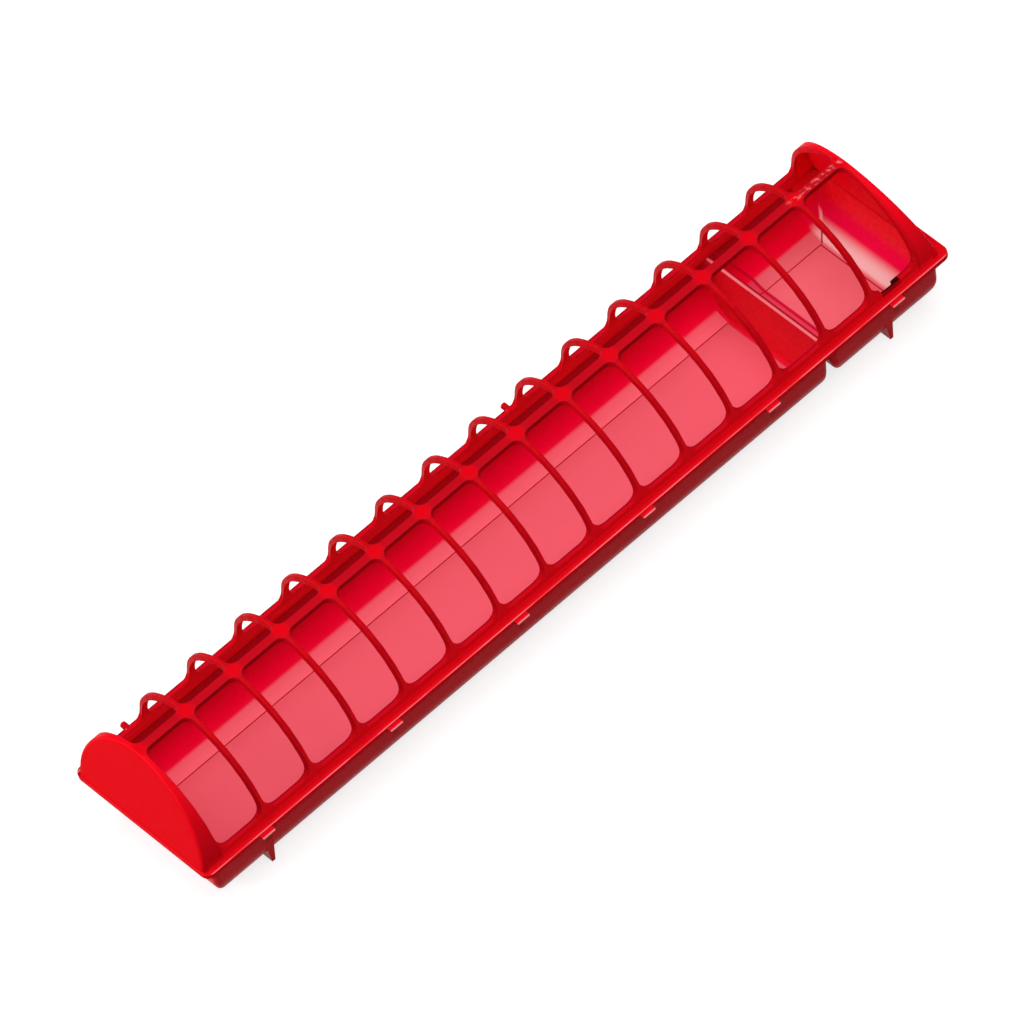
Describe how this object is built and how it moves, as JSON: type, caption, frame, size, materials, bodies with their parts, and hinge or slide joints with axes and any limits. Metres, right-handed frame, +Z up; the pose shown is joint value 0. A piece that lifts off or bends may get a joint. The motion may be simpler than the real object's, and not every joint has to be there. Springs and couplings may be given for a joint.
{
  "type": "poultry feeding trough",
  "caption": "Long poultry feeding trough: a rounded tub and a short end tub in one moulding, under a domed grille that gives each bird its own bay.",
  "frame": {"origin": "middle of the trough's footprint, level with the floor it stands on", "axes": "+X along the trough towards the short tub, +Z up, with the clips of the grille on the -Y side"},
  "size_m": [0.5, 0.108, 0.0834],
  "materials": {
    "tray_red": "gloss",
    "grille_red": "gloss"
  },
  "bodies": {
    "root": {"tray": "tray_red", "grille": "grille_red"}
  },
  "joints": []
}
